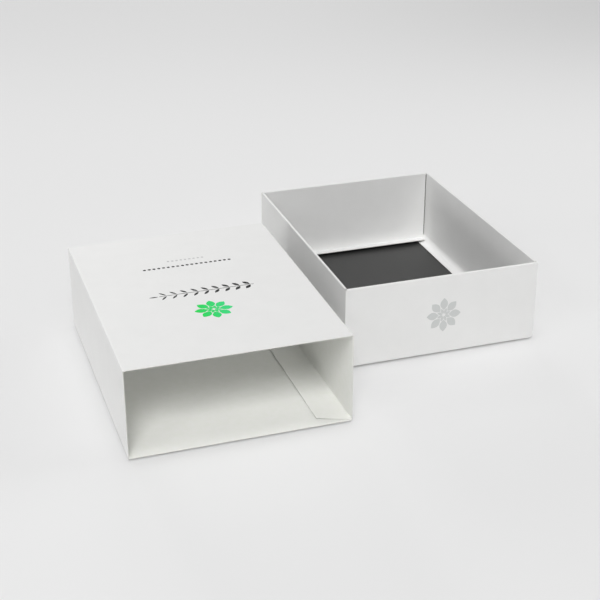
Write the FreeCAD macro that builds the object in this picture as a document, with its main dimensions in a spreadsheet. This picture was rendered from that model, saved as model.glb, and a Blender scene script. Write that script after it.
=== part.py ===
"""Sliding drawer gift box: a glued board sleeve, open at both ends, and a double-walled tray.

Frame: millimetres, +Z up, +Y into the depth of the bore. The origin is the middle of the
sleeve's underside. The tray stands on the same plane, drawn right out and set down beside it.
Every sub-part is one flat panel of board between its creases.
"""
import FreeCAD, Part
import os
from Sketcher import Constraint as Sketch

os.makedirs("parts", exist_ok=True)

DRIVING_SIZES = {
    # the board
    "board": 0.5,
    "crease_relief": 0.3,
    # the sleeve
    "sleeve_width": 152,
    "sleeve_depth": 202,
    "sleeve_height": 64,
    "glue_flap_width": 22,
    "glue_flap_taper": 8,
    # how the tray fits the bore
    "side_clearance": 0.4,
    "top_clearance": 0.4,
    "end_inset": 0.25,
    # where the tray stands beside the sleeve
    "tray_apart": 20.2,
    "tray_setback": 69.8,
    # the tray's walls and floor
    "wall_depth": 1.8,
    "rim_notch": 0.9,
    "inner_wall_gap": 0.3,
    "liner_thickness": 0.4,
    "side_flap_width": 8,
    "side_flap_taper": 5,
    "end_flap_width": 7,
    "end_flap_taper": 2.5,
    "corner_tab_length": 42,
    "corner_tab_taper": 5,
    "corner_tab_relief": 1.5,
}

WORKED_OUT_SIZES = {
    "half_width": "=sleeve_width / 2",
    "half_depth": "=sleeve_depth / 2",
    "fold_low": "=2 * board",
    "fold_high": "=sleeve_height - board",
    "wall_low": "=fold_low + crease_relief",
    "wall_span": "=fold_high - fold_low - 2 * crease_relief",
    "top_half": "=half_width - board - crease_relief",
    "tray_width": "=sleeve_width - 2 * board - 2 * side_clearance",
    "tray_depth": "=sleeve_depth - 2 * end_inset",
    "tray_height": "=sleeve_height - 3 * board - top_clearance",
    "tray_left": "=half_width + tray_apart",
    "tray_front": "=tray_setback - half_depth",
    "rim_low": "=tray_height - board",
    "floor_top": "=board + liner_thickness",
    "side_flap_top": "=floor_top + board",
    "end_flap_top": "=side_flap_top + board",
    "inner_offset": "=wall_depth - board",
    "corner_tab_low": "=board + corner_tab_relief",
    "corner_tab_span": "=rim_low - board - 2 * corner_tab_relief",
}

doc = FreeCAD.newDocument("sliding_drawer_gift_box")
sheet = doc.addObject("Spreadsheet::Sheet", "Sizes")
for row, (alias, value) in enumerate({**DRIVING_SIZES, **WORKED_OUT_SIZES}.items(), start=1):
    sheet.set(f"A{row}", alias)
    sheet.set(f"B{row}", str(value))
    sheet.setAlias(f"B{row}", alias)
doc.recompute()

sub_parts = []


def bound(expression):
    """Point each alias in an expression at the sheet."""
    words = expression.replace("(", "( ").replace(")", " )").split()
    return " ".join(f"Sizes.{word}" if word[0].isalpha() else word for word in words)


def stand_at(sub_part, corner):
    """Bind a sub-part's place to the sheet."""
    for axis, expression in zip("xyz", corner):
        sub_part.setExpression(f".Placement.Base.{axis}", bound(expression))


def panel(name, corner, size):
    """A flat rectangular panel, from its lowest corner and its size along X, Y and Z."""
    box = doc.addObject("Part::Box", name)
    box.Label = name
    for side, expression in zip(("Length", "Width", "Height"), size):
        box.setExpression(side, bound(expression))
    stand_at(box, corner)
    sub_parts.append(box)
    return box


def tapered_panel(name, plane, corner, root, reach, taper, rising, turned=False):
    """A flap one board thick, cut back by the taper at both ends of its free edge.

    The root is the length of its creased edge and the reach is how far it stands out from
    that edge. It rises towards the positive side of its plane, or the negative one.
    turned lays the root along the plane's second axis.
    """
    body = doc.addObject("PartDesign::Body", name)
    body.Label = name
    sketch = body.newObject("Sketcher::SketchObject", f"{name}_outline")
    base = next(item for item in body.Origin.OriginFeatures if item.Role == plane)
    sketch.AttachmentSupport = [(base, "")]
    sketch.MapMode = "FlatFace"

    way = 1 if rising else -1
    along, out, cut = 100.0, 10.0 * way, 2.0
    outline = [(0, 0), (along, 0), (along - cut, out), (cut, out)]
    if turned:
        outline = [(out_by, along_by) for along_by, out_by in outline]
    points = [FreeCAD.Vector(first, second, 0) for first, second in outline]
    for start, end in zip(points, points[1:] + points[:1]):
        sketch.addGeometry(Part.LineSegment(start, end), False)
    for edge in range(4):
        sketch.addConstraint(Sketch("Coincident", edge, 2, (edge + 1) % 4, 1))
    level = "Vertical" if turned else "Horizontal"
    sketch.addConstraint(Sketch(level, 0))
    sketch.addConstraint(Sketch(level, 2))
    sketch.addConstraint(Sketch("Coincident", 0, 1, -1, 1))

    lengthwise, outwards = ("DistanceY", "DistanceX") if turned else ("DistanceX", "DistanceY")
    driven = [
        (lengthwise, (0, 1, 0, 2), along, root),
        (lengthwise, (0, 1, 3, 1), cut, taper),
        (lengthwise, (2, 1, 0, 2), cut, taper),
        (outwards, (0, 1, 2, 1) if rising else (2, 1, 0, 1), 10.0, reach),
    ]
    for kind, ends, length, expression in driven:
        number = sketch.addConstraint(Sketch(kind, *ends, length))
        sketch.setExpression(f"Constraints[{number}]", bound(expression))
    pad = body.newObject("PartDesign::Pad", f"{name}_board")
    pad.Profile = sketch
    pad.setExpression("Length", bound("board"))
    stand_at(body, corner)
    sub_parts.append(body)
    return body



# The sleeve: four panels around the bore, closed by a flap that is glued to the floor panel.
# Its creases turn on the corners of the bore, so the empty sleeve folds flat to the left.
panel("sleeve_bottom_panel",
      ("-1 * half_width", "-1 * half_depth", "0"),
      ("sleeve_width", "sleeve_depth", "board"))
tapered_panel("sleeve_glue_flap", "XY_Plane",
              ("half_width - board - crease_relief", "-1 * half_depth", "board"),
              "sleeve_depth", "glue_flap_width", "glue_flap_taper", rising=False, turned=True)
panel("sleeve_right_wall",
      ("half_width - board", "-1 * half_depth", "wall_low"),
      ("board", "sleeve_depth", "wall_span"))
panel("sleeve_top_panel",
      ("-1 * top_half", "-1 * half_depth", "fold_high"),
      ("2 * top_half", "sleeve_depth", "board"))
panel("sleeve_left_wall",
      ("-1 * half_width", "-1 * half_depth", "wall_low"),
      ("board", "sleeve_depth", "wall_span"))

# The tray's floor: the base panel and the black card that covers it.
panel("tray_base_panel",
      ("tray_left", "tray_front", "0"),
      ("tray_width", "tray_depth", "board"))
panel("tray_floor_liner",
      ("tray_left + wall_depth", "tray_front + wall_depth", "board"),
      ("tray_width - 2 * wall_depth", "tray_depth - 2 * wall_depth", "liner_thickness"))

# The long sides roll over: outer wall, rim, inner wall, and a flap that holds the card down.
for side, outer, inner, rim in (
        ("left", "tray_left", "tray_left + inner_offset", "tray_left"),
        ("right", "tray_left + tray_width - board", "tray_left + tray_width - wall_depth",
         "tray_left + tray_width - wall_depth")):
    panel(f"tray_{side}_outer_wall",
          (outer, "tray_front + board", "board"),
          ("board", "tray_depth - 2 * board", "rim_low - board"))
    panel(f"tray_{side}_rim",
          (rim, "tray_front + wall_depth + inner_wall_gap", "rim_low"),
          ("wall_depth", "tray_depth - 2 * ( wall_depth + inner_wall_gap )", "board"))
    panel(f"tray_{side}_inner_wall",
          (inner, "tray_front + 2 * board", "side_flap_top"),
          ("board", "tray_depth - 4 * board", "rim_low - side_flap_top"))
tapered_panel("tray_left_floor_flap", "XY_Plane",
              ("tray_left + wall_depth", "tray_front + wall_depth", "floor_top"),
              "tray_depth - 2 * wall_depth", "side_flap_width", "side_flap_taper",
              rising=True, turned=True)
tapered_panel("tray_right_floor_flap", "XY_Plane",
              ("tray_left + tray_width - wall_depth", "tray_front + wall_depth", "floor_top"),
              "tray_depth - 2 * wall_depth", "side_flap_width", "side_flap_taper",
              rising=False, turned=True)

# The short ends roll over last, close on the corner tabs of the long sides, and end in a flap
# that lies on the flaps of the long sides.
for end, outer, inner, rim in (
        ("front", "tray_front", "tray_front + inner_offset", "tray_front"),
        ("back", "tray_front + tray_depth - board", "tray_front + tray_depth - wall_depth",
         "tray_front + tray_depth - wall_depth")):
    panel(f"tray_{end}_outer_wall",
          ("tray_left", outer, "board"),
          ("tray_width", "board", "rim_low - board"))
    panel(f"tray_{end}_rim",
          ("tray_left + rim_notch", rim, "rim_low"),
          ("tray_width - 2 * rim_notch", "wall_depth", "board"))
    panel(f"tray_{end}_inner_wall",
          ("tray_left + wall_depth + inner_wall_gap", inner, "end_flap_top"),
          ("tray_width - 2 * ( wall_depth + inner_wall_gap )", "board", "rim_low - end_flap_top"))
for end, crease, rising in (("front", "tray_front + wall_depth", True),
                            ("back", "tray_front + tray_depth - wall_depth", False)):
    tapered_panel(f"tray_{end}_floor_flap", "XY_Plane",
                  ("tray_left + wall_depth + inner_wall_gap", crease, "side_flap_top"),
                  "tray_width - 2 * ( wall_depth + inner_wall_gap )", "end_flap_width",
                  "end_flap_taper", rising=rising)

# A tab at each end of both long sides lies flat inside the double end wall.
for end, tab_back in (("front", "tray_front + 2 * board"),
                      ("back", "tray_front + tray_depth - board")):
    for side, root_at, rising in (("left", "tray_left + board", True),
                                  ("right", "tray_left + tray_width - board", False)):
        tapered_panel(f"tray_{end}_{side}_corner_tab", "XZ_Plane",
                      (root_at, tab_back, "corner_tab_low"),
                      "corner_tab_span", "corner_tab_length", "corner_tab_taper",
                      rising=rising, turned=True)

doc.recompute()

for item in doc.Objects:
    if "Invalid" in item.State or "Error" in item.State:
        raise RuntimeError(f"{item.Name} did not recompute: {item.State}")
for sub_part in sub_parts:
    if sub_part.Shape.isNull() or not sub_part.Shape.isValid():
        raise RuntimeError(f"{sub_part.Label} has no sound shape")
for sub_part in sub_parts:
    sub_part.Shape.exportStep(f"parts/{sub_part.Label}.step")
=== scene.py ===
"""Sliding drawer gift box in white folding boxboard: an open-ended sleeve, and its rolled-over tray beside it.

Everything is in metres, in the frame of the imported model. Each board is made as the printed face of the
blank, folded on its creases, and is given its thickness towards the inside of the fold.
"""
import math

import bmesh
import bpy
from mathutils import Matrix, Vector


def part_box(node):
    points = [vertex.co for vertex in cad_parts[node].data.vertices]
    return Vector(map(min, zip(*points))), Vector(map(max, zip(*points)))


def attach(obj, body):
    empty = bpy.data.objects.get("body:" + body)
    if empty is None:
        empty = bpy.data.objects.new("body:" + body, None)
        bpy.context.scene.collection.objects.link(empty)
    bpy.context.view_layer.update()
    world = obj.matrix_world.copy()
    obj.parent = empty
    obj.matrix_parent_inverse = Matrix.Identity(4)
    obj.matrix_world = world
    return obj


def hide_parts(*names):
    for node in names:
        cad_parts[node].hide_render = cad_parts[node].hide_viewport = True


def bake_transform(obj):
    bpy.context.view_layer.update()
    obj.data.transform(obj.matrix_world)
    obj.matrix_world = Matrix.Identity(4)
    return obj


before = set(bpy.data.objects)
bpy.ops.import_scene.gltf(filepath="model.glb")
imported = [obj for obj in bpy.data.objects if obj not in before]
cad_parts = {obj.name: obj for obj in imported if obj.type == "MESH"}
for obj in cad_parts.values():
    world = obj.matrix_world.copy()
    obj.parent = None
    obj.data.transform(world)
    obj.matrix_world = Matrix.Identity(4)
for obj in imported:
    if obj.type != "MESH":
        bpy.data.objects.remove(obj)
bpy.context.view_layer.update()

MM = 0.001

# ---------------------------------------------------------------- sizes read from the frame

sleeve_low, sleeve_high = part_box("sleeve_bottom_panel")
sleeve_high.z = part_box("sleeve_top_panel")[1].z
glue_low, glue_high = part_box("sleeve_glue_flap")
tray_low, tray_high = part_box("tray_base_panel")
side_flap_low, side_flap_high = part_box("tray_left_floor_flap")
end_flap_low, end_flap_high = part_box("tray_front_floor_flap")
tab_low, tab_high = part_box("tray_front_left_corner_tab")

# The tray's base is one board thick. After that, the tray's box is taken up to its rim.
BOARD = tray_high.z - tray_low.z
WALL_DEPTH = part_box("tray_front_inner_wall")[1].y - tray_low.y
tray_high.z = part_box("tray_front_rim")[1].z

# A crease is rolled to the fold's radius, and keeps a lead of flat board on either side of it.
FOLD = 0.8 * MM
LEAD = 1.2 * MM
FOLD_STEPS = 8
SHARP_ANGLE = math.radians(25)


# ---------------------------------------------------------------- materials

def linear(code):
    """An sRGB hex colour as linear red, green, blue and alpha."""
    parts = [int(code[place:place + 2], 16) / 255 for place in (1, 3, 5)]
    return [part / 12.92 if part <= 0.04045 else ((part + 0.055) / 1.055) ** 2.4 for part in parts] + [1.0]


def add(tree, kind, sockets=None, wires=None, **settings):
    """Add one node with its settings, its socket values and the outputs that feed it."""
    made = tree.nodes.new(kind)
    for name, value in settings.items():
        setattr(made, name, value)
    for socket, value in (sockets or {}).items():
        made.inputs[socket].default_value = value
    for socket, source in (wires or {}).items():
        tree.links.new(source, made.inputs[socket])
    return made


def surface(name, **sockets):
    """A new material with a Principled shader whose constant sockets are set."""
    material = bpy.data.materials.new(name)
    material.use_nodes = True
    shader = material.node_tree.nodes["Principled BSDF"]
    for socket, value in sockets.items():
        shader.inputs[socket.replace("_", " ")].default_value = value
    return material, material.node_tree, shader


def fibre_board(name, light, dark, mottle_mm, tooth_mm, tooth_depth_mm, roughness):
    """Paperboard: fibres felted into a sheet, so its tone drifts softly and its skin has a faint tooth.

    The mottle is the width over which the tone drifts, and the tooth is that of one knot of fibres. Single
    fibres are too fine to see, so both are drawn as coarse as they need to be to show.
    """
    material, tree, shader = surface(name, Roughness=roughness, Specular_IOR_Level=0.3)
    place = add(tree, "ShaderNodeTexCoord").outputs["Object"]
    mottle = add(tree, "ShaderNodeTexNoise", {"Scale": 1 / (mottle_mm * MM), "Detail": 4.0}, {"Vector": place})
    tone = add(tree, "ShaderNodeValToRGB", wires={"Fac": mottle.outputs["Fac"]})
    tone.color_ramp.elements[0].position = 0.3
    tone.color_ramp.elements[0].color = linear(dark)
    tone.color_ramp.elements[1].position = 0.7
    tone.color_ramp.elements[1].color = linear(light)
    tooth = add(tree, "ShaderNodeTexNoise", {"Scale": 1 / (tooth_mm * MM), "Detail": 2.0}, {"Vector": place})
    relief = add(tree, "ShaderNodeBump", {"Strength": 1.0, "Distance": tooth_depth_mm * MM},
                 {"Height": tooth.outputs["Fac"]})
    tree.links.new(tone.outputs["Color"], shader.inputs["Base Color"])
    tree.links.new(relief.outputs["Normal"], shader.inputs["Normal"])
    return material


def black_card(name):
    """Black card dyed through: deep, faintly warm, with paler fibres lying in its matte skin.

    The fibres lie along the card's grain, and are drawn wider than real ones so that they show.
    """
    fibre_width, grain = 0.9 * MM, 0.35
    material, tree, shader = surface(name, Roughness=0.46, Specular_IOR_Level=0.6)
    place = add(tree, "ShaderNodeTexCoord").outputs["Object"]
    stretched = add(tree, "ShaderNodeMapping", {"Scale": (1.0, grain, 1.0)}, {"Vector": place})
    fibres = add(tree, "ShaderNodeTexNoise", {"Scale": 1 / fibre_width, "Detail": 5.0, "Roughness": 0.7},
                 {"Vector": stretched.outputs["Vector"]})
    tone = add(tree, "ShaderNodeValToRGB", wires={"Fac": fibres.outputs["Fac"]})
    tone.color_ramp.elements[0].position = 0.35
    tone.color_ramp.elements[0].color = linear("#282828")
    tone.color_ramp.elements[1].position = 0.7
    tone.color_ramp.elements[1].color = linear("#313130")
    relief = add(tree, "ShaderNodeBump", {"Strength": 1.0, "Distance": 0.012 * MM},
                 {"Height": fibres.outputs["Fac"]})
    tree.links.new(tone.outputs["Color"], shader.inputs["Base Color"])
    tree.links.new(relief.outputs["Normal"], shader.inputs["Normal"])
    return material


def cut_board(name):
    """The sheared edge of the board: bare pulp between its two faces, a little greyer than either."""
    pulp_width = 0.25 * MM
    material, tree, shader = surface(name, Roughness=0.85)
    place = add(tree, "ShaderNodeTexCoord").outputs["Object"]
    pulp = add(tree, "ShaderNodeTexNoise", {"Scale": 1 / pulp_width, "Detail": 3.0}, {"Vector": place})
    tone = add(tree, "ShaderNodeValToRGB", wires={"Fac": pulp.outputs["Fac"]})
    tone.color_ramp.elements[0].color = linear("#D3D2CE")
    tone.color_ramp.elements[1].color = linear("#E4E3E0")
    tree.links.new(tone.outputs["Color"], shader.inputs["Base Color"])
    return material


def ink(name, near, far, start, end):
    """Offset ink on coated board: thin and dense, smoother than the board but with little shine.

    It turns from its near colour to its far one between the start and the end across the board.
    """
    mottle_width, unevenness = 0.8 * MM, 0.15
    material, tree, shader = surface(name, Roughness=0.5, Specular_IOR_Level=0.05)
    place = add(tree, "ShaderNodeTexCoord").outputs["Object"]
    across = add(tree, "ShaderNodeSeparateXYZ", wires={"Vector": place})
    thinning = add(tree, "ShaderNodeMapRange", {"From Min": start, "From Max": end},
                   {"Value": across.outputs["X"]})
    mottle = add(tree, "ShaderNodeTexNoise", {"Scale": 1 / mottle_width, "Detail": 3.0}, {"Vector": place})
    uneven = add(tree, "ShaderNodeMapRange", {"To Min": -unevenness, "To Max": unevenness},
                 {"Value": mottle.outputs["Fac"]})
    spread = add(tree, "ShaderNodeMath", wires={0: thinning.outputs["Result"], 1: uneven.outputs["Result"]},
                 operation="ADD")
    tone = add(tree, "ShaderNodeValToRGB", wires={"Fac": spread.outputs["Value"]})
    tone.color_ramp.elements[0].color = linear(near)
    tone.color_ramp.elements[1].color = linear(far)
    tree.links.new(tone.outputs["Color"], shader.inputs["Base Color"])
    return material


COATED = fibre_board("clay-coated boxboard face", "#E6E6E5", "#E4E4E3",
                     mottle_mm=14, tooth_mm=0.9, tooth_depth_mm=0.006, roughness=0.65)
REVERSE = fibre_board("uncoated boxboard reverse", "#EDEDEA", "#EAEBE6",
                      mottle_mm=5, tooth_mm=0.7, tooth_depth_mm=0.012, roughness=0.85)
# The hidden faces of the corner tabs, which lie glued inside the double walls, carry painted shade. They are
# drawn much darker than real board, so that the narrow gap in each corner of the tray reads as the deep shadow
# that it holds.
PAINTED_SHADE_REVERSE = fibre_board("boxboard reverse with painted shade", "#4B4A47", "#3F3E3B",
                    mottle_mm=3, tooth_mm=0.7, tooth_depth_mm=0.02, roughness=0.5)
CUT = cut_board("sheared boxboard edge")
CARD = black_card("dyed-through black card")
GREEN_INK = ink("green offset ink", "#04D24D", "#38D884", start=-13 * MM, end=14 * MM)
BLACK_INK = ink("black offset ink", "#1B1B1B", "#2A2A2A", start=-38 * MM, end=38 * MM)
GREY_INK = ink("grey offset ink", "#C6C8C7", "#CDCFCE", start=100 * MM, end=250 * MM)
PALE_INK = ink("pale grey offset ink", "#B9B9B9", "#C2C2C2", start=-13 * MM, end=16 * MM)


# ---------------------------------------------------------------- board

def shell(name, mesh, materials):
    """Turn a bmesh into an object of the scene."""
    data = bpy.data.meshes.new(name)
    mesh.to_mesh(data)
    mesh.free()
    for material in materials:
        data.materials.append(material)
    piece = bpy.data.objects.new(name, data)
    bpy.context.scene.collection.objects.link(piece)
    return piece


def thicken(piece, depth):
    """Give a printed face its board: the reverse takes the second material, and the cut edge the third."""
    wall = piece.modifiers.new("board", "SOLIDIFY")
    wall.thickness = depth
    wall.offset = -1
    wall.use_even_offset = True
    wall.material_offset = 1
    wall.material_offset_rim = 2
    graph = bpy.context.evaluated_depsgraph_get()
    made = bpy.data.meshes.new_from_object(piece.evaluated_get(graph))
    piece.modifiers.clear()
    piece.data = made
    made.shade_smooth()
    made.set_sharp_from_angle(angle=SHARP_ANGLE)


def everywhere(_place):
    """The test of a cut that goes through the whole board."""
    return True


def folded_board(name, outline, run, facing, radii=(), cuts=(), waste=None):
    """A board folded along an outline and drawn out along a run.

    The outline is the printed face, which looks along facing on its first panel. Each crease is rounded
    to its own radius. Each cut is a plane and a test of which faces it goes through, and waste picks out
    what falls away.
    """
    mesh = bmesh.new()
    line = [mesh.verts.new(point) for point in outline]
    edges = [mesh.edges.new(ends) for ends in zip(line, line[1:])]
    drawn = bmesh.ops.extrude_edge_only(mesh, edges=edges)["geom"]
    far_side = [item for item in drawn if isinstance(item, bmesh.types.BMVert)]
    bmesh.ops.translate(mesh, verts=far_side, vec=run)
    creases = [next(edge for edge in corner.link_edges if len(edge.link_faces) == 2) for corner in line[1:-1]]
    first_panel = edges[0].link_faces[0]
    first_panel.normal_update()
    if first_panel.normal.dot(Vector(facing)) < 0:
        bmesh.ops.reverse_faces(mesh, faces=mesh.faces[:])
    for crease, radius in zip(creases, radii):
        bmesh.ops.bevel(mesh, geom=[crease], offset=radius, offset_type="OFFSET", segments=FOLD_STEPS,
                        profile=0.5, affect="EDGES", material=-1)
    for point, normal, cut_through in cuts:
        faces = [face for face in mesh.faces if cut_through(face.calc_center_median())]
        rims = dict.fromkeys(item for face in faces for item in face.edges[:] + face.verts[:])
        bmesh.ops.bisect_plane(mesh, geom=faces + list(rims), plane_co=point, plane_no=normal)
    if waste:
        scrap = [face for face in mesh.faces if waste(face.calc_center_median())]
        bmesh.ops.delete(mesh, geom=scrap, context="FACES")
    piece = shell(name, mesh, [COATED, REVERSE, CUT])
    thicken(piece, BOARD)
    return piece


# ---------------------------------------------------------------- the sleeve

def sleeve_board(name, outline, facing, radii=(), cuts=(), waste=None):
    """A board of the sleeve, from an outline across the bore, drawn out along the whole bore."""
    points = [(across, sleeve_low.y, up) for across, up in outline]
    return folded_board(name, points, (0, sleeve_high.y - sleeve_low.y, 0), facing, radii, cuts, waste)


def sleeve_panels():
    """The four flat panels around the bore, each between its creases."""
    left, right, top = sleeve_low.x, sleeve_high.x, sleeve_high.z
    reach = FOLD + LEAD
    raw_edge = right - FOLD * 0.5
    wall_foot = BOARD + reach

    bottom = sleeve_board("sleeve_bottom_board", [(left + reach, 0), (raw_edge, 0)], (0, 0, -1))
    right_wall = sleeve_board("sleeve_right_board", [(right, wall_foot), (right, top - reach)], (1, 0, 0))
    top_board = sleeve_board("sleeve_top_board", [(right - reach, top), (left + reach, top)], (0, 0, 1))
    left_wall = sleeve_board("sleeve_left_board", [(left, top - reach), (left, reach)], (-1, 0, 0))
    for board, body, node in ((bottom, "sleeve_floor", "sleeve_bottom_panel"),
                              (right_wall, "sleeve_right", "sleeve_right_wall"),
                              (top_board, "sleeve_top", "sleeve_top_panel"),
                              (left_wall, "sleeve_left", "sleeve_left_wall")):
        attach(board, body)
        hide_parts(node)


def glue_flap():
    """The flap glued to the bottom panel; its free edge springs up a little, and its ends are tapered."""
    spring = 0.7 * MM
    taper = 8 * MM
    root = sleeve_high.x - FOLD
    slope = Vector((taper, glue_high.x - glue_low.x, 0))
    front = Vector((root, sleeve_low.y, 0))
    back = Vector((root, sleeve_high.y, 0))

    def beyond_the_taper(middle):
        in_by = (root - middle.x) * taper / (glue_high.x - glue_low.x)
        return middle.y < sleeve_low.y + in_by or middle.y > sleeve_high.y - in_by

    flap = sleeve_board("sleeve_glue_flap_board",
                        [(glue_low.x, glue_low.z + spring), (root - LEAD, glue_low.z)], (0, 0, -1),
                        cuts=[(front, slope, everywhere), (back, Vector((slope.x, -slope.y, 0)), everywhere)],
                        waste=beyond_the_taper)
    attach(flap, "sleeve_floor")
    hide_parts("sleeve_glue_flap")


def sleeve_creases():
    """The rounded folds between the panels. Three are laid where they rest and are joined to no body, and the
    fourth parts at its middle, a half going with each of its panels.
    """
    left, right, top = sleeve_low.x, sleeve_high.x, sleeve_high.z
    reach = FOLD + LEAD

    lower_right = sleeve_board("sleeve_lower_right_crease",
                               [(right - reach, BOARD), (right, BOARD), (right, BOARD + reach)],
                               (0, 0, -1), [FOLD])
    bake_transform(lower_right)
    upper_right = sleeve_board("sleeve_upper_right_crease",
                               [(right, top - reach), (right, top), (right - reach, top)], (1, 0, 0), [FOLD])
    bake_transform(upper_right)
    upper_left = sleeve_board("sleeve_upper_left_crease",
                              [(left + reach, top), (left, top), (left, top - reach)], (0, 0, 1), [FOLD])
    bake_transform(upper_left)

    corner = [(left, reach), (left, 0), (left + reach, 0)]
    halves = (("sleeve_lower_left_crease_wall_half", "sleeve_left",
               lambda middle: middle.x - left > middle.z),
              ("sleeve_lower_left_crease_floor_half", "sleeve_floor",
               lambda middle: middle.x - left < middle.z))
    for name, body, waste in halves:
        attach(sleeve_board(name, corner, (-1, 0, 0), [FOLD], waste=waste), body)


# ---------------------------------------------------------------- the tray

# The fold where a wall leaves the base, and how far in from the corner a side's wall passes into its tab.
BASE_FOLD = 1.2 * MM
CORNER_LEAD = 1.6 * MM
# The notch at each end of an end's rim, and the gaps from an end's inner wall to the side's and from a
# side's rim to the end's.
RIM_NOTCH = 0.9 * MM
CORNER_GAP = 0.8 * MM
SIDE_GAP = 0.6 * MM
# What is cut away at the foot of an end so that its corners clear the side's, and above each corner tab.
FOOT_RELIEF = 0.8 * MM
TAB_HEADROOM = 1.3 * MM
# How much further an end's floor flap reaches than the flat one of the frame, over the side flaps.
END_FLAP_EXTRA = 2.6 * MM


def rollover(name, middle, along, inward, half, foot, foot_fold, rise, spring,
             flap_root, flap_reach, flap_taper, insets):
    """One side of the tray in one board: base lead, outer wall, rim, inner wall and floor flap.

    The middle is that of the outer wall's foot. The board runs along one way, to half its length each
    way, and inward is the way into the tray. The foot is the height of the floor flap's upper face where
    it is pressed flat. The flap's crease rises above that, and its free edge springs up. The flap starts
    at its root, in from the board's ends, and tapers over its reach. The insets say how far in from its
    ends the blank is cut, at the base, outer wall, rim and inner wall.
    """
    top = Vector((0, 0, tray_high.z))
    heights = [(BASE_FOLD + LEAD, 0), (0, 0), (0, 1), (WALL_DEPTH, 1)]
    outline = [middle - along * half + inward * across + top * up for across, up in heights]
    root = middle - along * half + inward * WALL_DEPTH + Vector((0, 0, foot))
    outline += [root + Vector((0, 0, rise)), root + inward * flap_reach + Vector((0, 0, spring))]
    ends = (along, -along)
    cuts = [(middle + end * (half - inset), end, everywhere) for inset in sorted(set(insets)) for end in ends]
    cuts += [(middle + inward * WALL_DEPTH + end * (half - flap_root), inward * flap_taper + end * flap_reach,
              lambda place: (place - middle).dot(inward) > WALL_DEPTH + foot_fold / 2) for end in ends]
    base, outer, rim, inner = insets

    def waste(place):
        across = (place - middle).dot(inward)
        in_by = half - abs((place - middle).dot(along))
        if place.z > tray_high.z - FOLD:
            return in_by < rim
        if across > WALL_DEPTH + foot_fold / 2:
            return in_by < flap_root + (across - WALL_DEPTH) * flap_taper / flap_reach
        if place.z < BASE_FOLD and across < BASE_FOLD + LEAD:
            return in_by < base
        if across < FOLD:
            return in_by < outer
        return in_by < inner

    return folded_board(name, outline, along * 2 * half, (0, 0, -1), [BASE_FOLD, FOLD, FOLD, foot_fold],
                        cuts, waste)


def corner_tab(name, corner, inward_x, inward_y):
    """The end of a long side, turned round the corner and tucked inside the double end wall."""
    section = [(0, CORNER_LEAD), (0, BOARD), (tab_high.x - tray_low.x, BOARD)]
    foot, head = BASE_FOLD, tray_high.z - TAB_HEADROOM
    outline = [(corner.x + inward_x * across, corner.y + inward_y * in_by, foot) for across, in_by in section]
    turn = BOARD + FOLD
    levels = [(Vector((0, 0, level)), Vector((0, 0, 1)), everywhere) for level in (tab_low.z, tab_high.z)]
    upright = [(Vector((corner.x + inward_x * turn, 0, 0)), Vector((1, 0, 0)), everywhere)]

    def waste(middle):
        tucked_in = (middle.x - corner.x) * inward_x > turn
        return tucked_in and not tab_low.z < middle.z < tab_high.z

    return folded_board(name, outline, (0, 0, head - foot), (-inward_x, 0, 0), [FOLD],
                        levels + upright, waste)


def tray():
    """The tray: base, black card, two rolled-over sides, two rolled-over ends and four corner tabs."""
    inset = BASE_FOLD + LEAD
    base = folded_board("tray_base_board",
                        [(tray_low.x + inset, tray_low.y + inset, 0),
                         (tray_high.x - inset, tray_low.y + inset, 0)],
                        (0, tray_high.y - tray_low.y - 2 * inset, 0), (0, 0, -1))
    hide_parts("tray_base_panel")
    boards = [base]

    centre = (tray_low + tray_high) / 2
    middle = Vector((centre.x, centre.y, 0))
    half_width, half_depth = (tray_high.x - tray_low.x) / 2, (tray_high.y - tray_low.y) / 2
    across, along = Vector((1, 0, 0)), Vector((0, 1, 0))
    parts = ("outer_wall", "rim", "inner_wall", "floor_flap")
    # A side's inner wall stops short of an end's outer wall and of the tab behind it, which take a board each.
    for side, way in (("left", -1), ("right", 1)):
        board = rollover(f"tray_{side}_side_board", middle + across * way * half_width, along, -across * way,
                         half=half_depth, foot=side_flap_high.z, foot_fold=3.5 * MM, rise=1.3 * MM,
                         spring=0.2 * MM, flap_root=WALL_DEPTH,
                         flap_reach=side_flap_high.x - side_flap_low.x, flap_taper=5 * MM,
                         insets=(inset, CORNER_LEAD, WALL_DEPTH + SIDE_GAP, 2 * BOARD))
        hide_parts(*[f"tray_{side}_{part}" for part in parts])
        boards.append(board)
    for end, way in (("front", -1), ("back", 1)):
        board = rollover(f"tray_{end}_end_board", middle + along * way * half_depth, across, -along * way,
                         half=half_width, foot=end_flap_high.z, foot_fold=0.8 * MM, rise=0.4 * MM,
                         spring=2.3 * MM, flap_root=WALL_DEPTH + CORNER_GAP,
                         flap_reach=end_flap_high.y - end_flap_low.y + END_FLAP_EXTRA, flap_taper=2.5 * MM,
                         insets=(FOOT_RELIEF, 0.0, RIM_NOTCH, WALL_DEPTH + CORNER_GAP))
        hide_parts(*[f"tray_{end}_{part}" for part in parts])
        boards.append(board)
        for side, side_way in (("left", -1), ("right", 1)):
            corner = middle + along * way * half_depth + across * side_way * half_width
            board = corner_tab(f"tray_{end}_{side}_tab_board", corner, -side_way, -way)
            # The tab's hidden reverse takes the painted shade of the narrow corner gap.
            board.data.materials[1] = PAINTED_SHADE_REVERSE
            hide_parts(f"tray_{end}_{side}_corner_tab")
            boards.append(board)
    for board in boards:
        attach(board, "tray")

    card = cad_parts["tray_floor_liner"].data
    card.materials.clear()
    card.materials.append(CARD)


# ---------------------------------------------------------------- the print

# The film of ink is drawn thicker than a real one, so that it clears the board. Points of a shape that are
# nearer to each other than the weld are one point.
INK_DEPTH = 0.03 * MM
WELD = 0.0001 * MM


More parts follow.
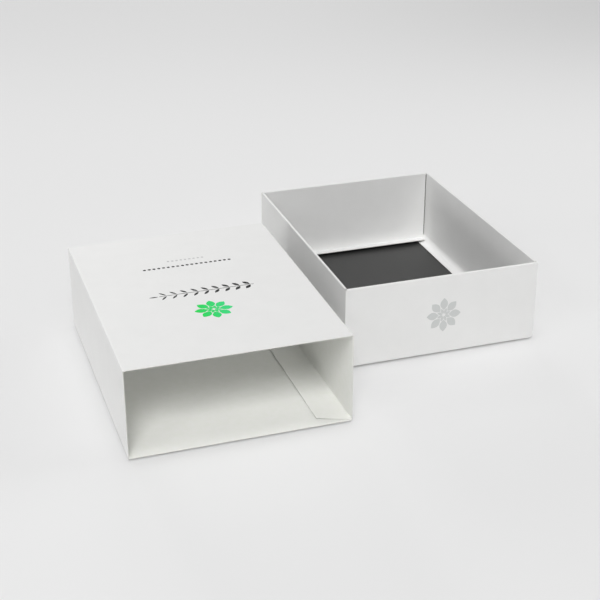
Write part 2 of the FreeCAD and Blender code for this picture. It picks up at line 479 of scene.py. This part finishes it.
def leaf(mesh, length, width, heel, turn):
    """Add a pointed leaf whose stalk end is the heel distance from the origin, turned about it."""
    outline = bmesh.ops.create_circle(mesh, cap_ends=True, segments=32, radius=1.0)["verts"]
    for point in outline:
        point.co.y *= math.sqrt(max(0.0, 1 - point.co.x ** 2))
    bmesh.ops.scale(mesh, verts=outline, vec=(length / 2, width / 2, 1))
    bmesh.ops.translate(mesh, verts=outline, vec=(heel + length / 2, 0, 0))
    bmesh.ops.rotate(mesh, verts=outline, cent=(0, 0, 0), matrix=Matrix.Rotation(turn, 3, "Z"))
    return outline


def printed(name, mesh, body, material, place, upright=False):
    """Lay flat shapes on a panel as a film of ink, or stand them upright on a front."""
    bmesh.ops.remove_doubles(mesh, verts=mesh.verts[:], dist=WELD)
    film = bmesh.ops.extrude_face_region(mesh, geom=mesh.faces[:])["geom"]
    raised = [item for item in film if isinstance(item, bmesh.types.BMVert)]
    bmesh.ops.translate(mesh, verts=raised, vec=(0, 0, INK_DEPTH))
    bmesh.ops.recalc_face_normals(mesh, faces=mesh.faces[:])
    if upright:
        bmesh.ops.rotate(mesh, verts=mesh.verts[:], cent=(0, 0, 0),
                         matrix=Matrix.Rotation(math.radians(90), 3, "X"))
    bmesh.ops.translate(mesh, verts=mesh.verts[:], vec=place)
    piece = shell(name, mesh, [material])
    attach(piece, body)


def rosette():
    """A ring of eight broad leaves around eight small ones."""
    mesh = bmesh.new()
    leaves = 8
    for step in range(leaves):
        leaf(mesh, length=9.4 * MM, width=6.0 * MM, heel=4.0 * MM, turn=step * math.tau / leaves)
        leaf(mesh, length=4.6 * MM, width=2.2 * MM, heel=0.9 * MM, turn=(step + 0.5) * math.tau / leaves)
    return mesh


def branch():
    """A leafy branch lying along X: the leaves grow in pairs, slender at the tip and fuller at the root."""
    mesh = bmesh.new()
    pairs, pitch, root = 9, 7.5 * MM, 34 * MM
    lean = math.radians(50)
    slender_mm, swelling_mm = 1.3, 1.7
    past_root, stem_half_width = 2 * MM, 0.3 * MM
    for step in range(pairs):
        fullness = 1 - step / pairs
        for side in (-1, 1):
            blade = leaf(mesh, length=6.6 * MM, width=(slender_mm + swelling_mm * fullness) * MM,
                         heel=0.9 * MM, turn=math.pi - side * lean)
            bmesh.ops.translate(mesh, verts=blade, vec=(root - step * pitch, 0, 0))
    tip = leaf(mesh, length=6.4 * MM, width=1.5 * MM, heel=0.8 * MM, turn=math.pi)
    bmesh.ops.translate(mesh, verts=tip, vec=(root - pairs * pitch + past_root, 0, 0))
    stem = bmesh.ops.create_grid(mesh, x_segments=1, y_segments=1, size=1)["verts"]
    bmesh.ops.scale(mesh, verts=stem, vec=(pairs * pitch / 2, stem_half_width, 1))
    bmesh.ops.translate(mesh, verts=stem, vec=(root - pairs * pitch / 2 + past_root, 0, 0))
    return mesh


def dots(count, pitch, radius):
    """A straight row of round dots."""
    mesh = bmesh.new()
    for step in range(count):
        spot = bmesh.ops.create_circle(mesh, cap_ends=True, segments=16, radius=radius)["verts"]
        bmesh.ops.translate(mesh, verts=spot, vec=((step - (count - 1) / 2) * pitch, 0, 0))
    return mesh


def artwork():
    """A leaf device, a branch and two dotted rules on the sleeve, and the same device on the tray."""
    top = sleeve_high.z
    printed("sleeve_print_rosette", rosette(), "sleeve_top", GREEN_INK, place=(0, -34.8 * MM, top))
    printed("sleeve_print_branch", branch(), "sleeve_top", BLACK_INK, place=(1 * MM, -4.5 * MM, top))
    printed("sleeve_print_dotted_rule", dots(count=19, pitch=3.5 * MM, radius=1.15 * MM), "sleeve_top",
            BLACK_INK, place=(0.7 * MM, 41.8 * MM, top))
    printed("sleeve_print_pale_rule", dots(count=9, pitch=3.2 * MM, radius=0.95 * MM), "sleeve_top",
            PALE_INK, place=(1.6 * MM, 51.8 * MM, top))
    printed("tray_print_rosette", rosette(), "tray", GREY_INK,
            place=(172.4 * MM, tray_low.y, 30.8 * MM), upright=True)


# ---------------------------------------------------------------- studio

# The paper is 12 m across and lies a little under the boxes, so that a fine line of shadow runs round them.
FLOOR_BREADTH = 12
FLOOR_LEVEL = -1.5 * MM
# This share of the paper's seen tone is a steady glow, trimmed to match the rest, which is lit by the lamps.
GLOW = 0.3
GLOW_TRIM = 0.93
# Painted shade on the seen paper in the shelter of a box: how much an ambient occlusion darkens its tone, and
# how far that reaches, in metres.
SHELTER = 0.22
SHELTER_REACH = 0.1
# The seen paper darkens with painted shade between these distances behind the sleeve, in metres. To the left it
# does so by this share only, and it comes to the full amount between these distances to the right.
FALL_OFF_BEHIND = (0.45, 1.15)
FALL_OFF_ASIDE = (-0.1, 0.65)
FALL_OFF_LEFT = 0.33
# The lamps stand this far off, in metres, and look at a place between the boxes.
LAMP_DISTANCE = 10.0
LAMP_TARGET = (0.08, 0.03, 0.03)
# The camera's place, in metres, how far it is turned from the bore to the right and tilted down, in
# degrees, and its focal length and sensor width, in millimetres.
CAMERA_PLACE = (-0.1951, -0.7992, 0.4494)
HEADING = 18.54
TILT = 25.7
FOCAL = 77.98
SENSOR = 36


def background_ray(tree):
    """A value of 1 where the background is seen, straight or in a reflection, and 0 where it gives light."""
    rays = add(tree, "ShaderNodeLightPath")
    mirrored = add(tree, "ShaderNodeMath", wires={0: rays.outputs["Is Glossy Ray"],
                                                  1: rays.outputs["Is Transmission Ray"]}, operation="MAXIMUM")
    return add(tree, "ShaderNodeMath",
               wires={0: rays.outputs["Is Camera Ray"], 1: mirrored.outputs["Value"]}, operation="MAXIMUM")


def studio_floor():
    """A seamless sheet of white paper, whose seen tone is darkened a little far behind the boxes as painted
    shade.

    The lens sees the paper a shade below white, and darker close to the boxes, where it is given painted shade.
    The boxes get the light that plain white paper throws back.
    """
    bpy.ops.mesh.primitive_plane_add(size=FLOOR_BREADTH, location=(0, 0, FLOOR_LEVEL))
    floor = bpy.context.object
    floor.name = "studio_floor"
    material, tree, shader = surface("matte white background paper", Roughness=0.9, Specular_IOR_Level=0.0)
    place = add(tree, "ShaderNodeTexCoord").outputs["Object"]
    heading = math.radians(HEADING)
    away = add(tree, "ShaderNodeVectorMath", {1: (math.sin(heading), math.cos(heading), 0)}, {0: place},
               operation="DOT_PRODUCT")
    aside = add(tree, "ShaderNodeVectorMath", {1: (math.cos(heading), -math.sin(heading), 0)}, {0: place},
                operation="DOT_PRODUCT")
    behind = add(tree, "ShaderNodeMapRange", {"From Min": FALL_OFF_BEHIND[0], "From Max": FALL_OFF_BEHIND[1]},
                 {"Value": away.outputs["Value"]}, interpolation_type="SMOOTHSTEP")
    side = add(tree, "ShaderNodeMapRange", {"From Min": FALL_OFF_ASIDE[0], "From Max": FALL_OFF_ASIDE[1],
                                            "To Min": FALL_OFF_LEFT, "To Max": 1.0},
               {"Value": aside.outputs["Value"]}, interpolation_type="SMOOTHSTEP")
    shade = add(tree, "ShaderNodeMath", wires={0: behind.outputs["Result"], 1: side.outputs["Result"]},
                operation="MULTIPLY")
    # Painted shade: the seen paper darkens far behind the boxes, and more so to the right.
    plain = add(tree, "ShaderNodeValToRGB", wires={"Fac": shade.outputs["Value"]})
    plain.color_ramp.elements[0].color = linear("#EDEDED")
    plain.color_ramp.elements[1].color = linear("#D5D5D5")
    # Painted shade: near a box, the seen tone is multiplied down by the ambient occlusion.
    shelter = add(tree, "ShaderNodeAmbientOcclusion", {"Distance": SHELTER_REACH}, samples=12)
    tone = add(tree, "ShaderNodeMixRGB", {"Fac": SHELTER},
               {"Color1": plain.outputs["Color"], "Color2": shelter.outputs["Color"]}, blend_type="MULTIPLY")
    seen = background_ray(tree)
    dimmed = add(tree, "ShaderNodeMixRGB", {"Fac": GLOW, "Color2": linear("#000000")},
                 {"Color1": tone.outputs["Color"]})
    paper = add(tree, "ShaderNodeMixRGB", {"Color1": linear("#F6F6F6")},
                {"Fac": seen.outputs["Value"], "Color2": dimmed.outputs["Color"]})
    glow = add(tree, "ShaderNodeMath", {1: GLOW * GLOW_TRIM}, {0: seen.outputs["Value"]}, operation="MULTIPLY")
    tree.links.new(paper.outputs["Color"], shader.inputs["Base Color"])
    tree.links.new(tone.outputs["Color"], shader.inputs["Emission Color"])
    tree.links.new(glow.outputs["Value"], shader.inputs["Emission Strength"])
    floor.data.materials.append(material)


def softbox(name, bearing, height, breadth, strength):
    """A round soft lamp that the lens cannot see.

    Its bearing is turned from the front towards the right, its height is above the floor, and its breadth
    is half the angle that it fills, in degrees. At a strength of 1, white board that faces it looks white.
    """
    lamp = bpy.data.lights.new(name, "AREA")
    lamp.shape = "DISK"
    lamp.size = 2 * LAMP_DISTANCE * math.tan(math.radians(breadth))
    lamp.energy = strength * (math.pi * LAMP_DISTANCE) ** 2
    holder = bpy.data.objects.new(name, lamp)
    bearing, height = math.radians(bearing), math.radians(height)
    way = Vector((math.sin(bearing) * math.cos(height), -math.cos(bearing) * math.cos(height),
                  math.sin(height)))
    holder.location = Vector(LAMP_TARGET) + way * LAMP_DISTANCE
    holder.rotation_euler = way.to_track_quat("Z", "Y").to_euler()
    holder.visible_camera = False
    bpy.context.scene.collection.objects.link(holder)


def studio_light():
    """A key lamp in front with a weaker one to its left, one overhead, and low fills at the sides and back.

    The wall around them is seen by the lens and in reflections, and gives no light.
    """
    softbox("key_softbox", bearing=-20, height=46, breadth=12, strength=0.622)
    softbox("side_softbox", bearing=-60, height=30, breadth=12, strength=0.13)
    softbox("overhead_softbox", bearing=0, height=89, breadth=12, strength=0.31)
    softbox("left_fill", bearing=-90, height=5, breadth=5, strength=0.16)
    softbox("right_fill", bearing=90, height=15, breadth=15, strength=0.33)
    softbox("back_fill", bearing=180, height=10, breadth=10, strength=0.43)
    world = bpy.data.worlds.new("pale studio wall")
    world.use_nodes = True
    tree = world.node_tree
    wall = tree.nodes["Background"]
    wall.inputs["Color"].default_value = linear("#DCDCDC")
    tree.links.new(background_ray(tree).outputs["Value"], wall.inputs["Strength"])
    bpy.context.scene.world = world


def camera():
    """A short telephoto that looks down on the boxes from the front and a little from the left."""
    lens = bpy.data.cameras.new("camera")
    lens.sensor_width = SENSOR
    lens.lens = FOCAL
    lens.clip_end = 50
    holder = bpy.data.objects.new("camera", lens)
    holder.location = CAMERA_PLACE
    holder.rotation_euler = (math.radians(90 - TILT), 0, math.radians(-HEADING))
    bpy.context.scene.collection.objects.link(holder)
    bpy.context.scene.camera = holder


sleeve_panels()
glue_flap()
sleeve_creases()
tray()
artwork()
studio_floor()
studio_light()
camera()
bpy.context.scene.view_settings.view_transform = "Standard"
